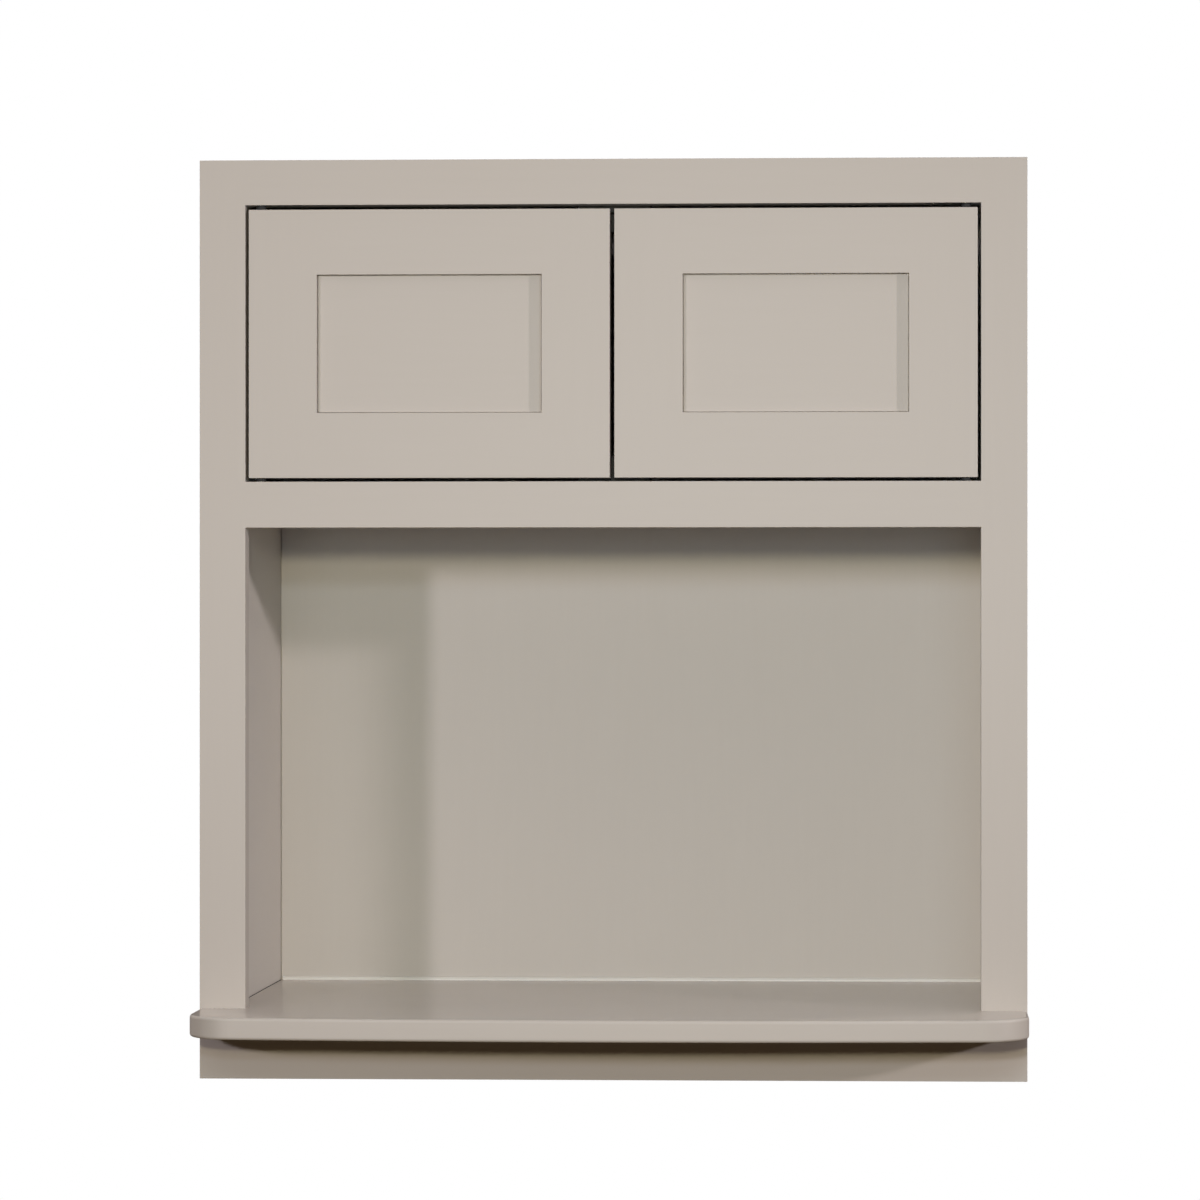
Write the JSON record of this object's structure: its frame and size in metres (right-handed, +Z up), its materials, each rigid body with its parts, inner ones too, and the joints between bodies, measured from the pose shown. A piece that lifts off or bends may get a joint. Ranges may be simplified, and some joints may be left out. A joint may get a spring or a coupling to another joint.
{
  "type": "microwave wall cabinet",
  "caption": "Face-frame wall cabinet with a pair of inset flat-panel doors over an open microwave niche whose floor is a bow-front shelf that reaches past the frame.",
  "frame": {"origin": "middle of the upper hanging rail's rear face, on the wall plane", "axes": "+Z up, +Y into the wall, the doors and the shelf's front face -Y, +X to the right seen from the front"},
  "size_m": [0.6858, 0.4008, 0.762],
  "materials": {
    "taupe_paint": "satin taupe paint",
    "raw_plywood": "raw birch plywood",
    "zinc_steel": "zinc plate",
    "black_nylon": "moulded nylon",
    "magnet": "ferrite magnet",
    "clear_silicone": "clear silicone"
  },
  "bodies": {
    "cabinet": {"left_side_panel": "taupe_paint", "right_side_panel": "taupe_paint", "compartment_deck": "taupe_paint", "microwave_shelf": "taupe_paint", "back_panel": "taupe_paint", "left_face_stile": "taupe_paint", "right_face_stile": "taupe_paint", "top_face_rail": "taupe_paint", "middle_face_rail": "taupe_paint", "bottom_face_rail": "taupe_paint", "top_panel": "raw_plywood", "upper_hanging_rail": "raw_plywood", "lower_hanging_rail": "raw_plywood", "left_shelf_cleat": "raw_plywood", "right_shelf_cleat": "raw_plywood", "left_upper_frame_leaf": "zinc_steel", "left_upper_frame_leaf_screw": "zinc_steel", "left_upper_pivot_pin": "zinc_steel", "left_lower_frame_leaf": "zinc_steel", "left_lower_frame_leaf_screw": "zinc_steel", "left_lower_pivot_pin": "zinc_steel", "left_catch_screw": "zinc_steel", "right_upper_frame_leaf": "zinc_steel", "right_upper_frame_leaf_screw": "zinc_steel", "right_upper_pivot_pin": "zinc_steel", "right_lower_frame_leaf": "zinc_steel", "right_lower_frame_leaf_screw": "zinc_steel", "right_lower_pivot_pin": "zinc_steel", "right_catch_screw": "zinc_steel", "catch_housing": "black_nylon", "catch_block": "black_nylon", "door_stop_block": "black_nylon", "left_upper_pivot_washer": "black_nylon", "left_lower_pivot_washer": "black_nylon", "right_upper_pivot_washer": "black_nylon", "right_lower_pivot_washer": "black_nylon", "left_catch_magnet": "magnet", "right_catch_magnet": "magnet", "left_bumper": "clear_silicone", "right_bumper": "clear_silicone"},
    "left_door": {"left_door_hinge_stile": "taupe_paint", "left_door_meeting_stile": "taupe_paint", "left_door_top_rail": "taupe_paint", "left_door_bottom_rail": "taupe_paint", "left_door_panel": "taupe_paint", "left_upper_door_leaf": "zinc_steel", "left_upper_door_leaf_screw": "zinc_steel", "left_lower_door_leaf": "zinc_steel", "left_lower_door_leaf_screw": "zinc_steel", "left_strike_plate": "zinc_steel"},
    "right_door": {"right_door_hinge_stile": "taupe_paint", "right_door_meeting_stile": "taupe_paint", "right_door_top_rail": "taupe_paint", "right_door_bottom_rail": "taupe_paint", "right_door_panel": "taupe_paint", "right_upper_door_leaf": "zinc_steel", "right_upper_door_leaf_screw": "zinc_steel", "right_lower_door_leaf": "zinc_steel", "right_lower_door_leaf_screw": "zinc_steel", "right_strike_plate": "zinc_steel"}
  },
  "joints": [
    {"name": "left_door_swing", "type": "hinge", "parent": "cabinet", "child": "left_door", "pos_m": [-0.2924, -0.2988, -0.0966], "axis": [0, 0, -1], "range_deg": [0, 105]},
    {"name": "right_door_swing", "type": "hinge", "parent": "cabinet", "child": "right_door", "pos_m": [0.2924, -0.2988, -0.0966], "axis": [0, 0, 1], "range_deg": [0, 105]}
  ]
}
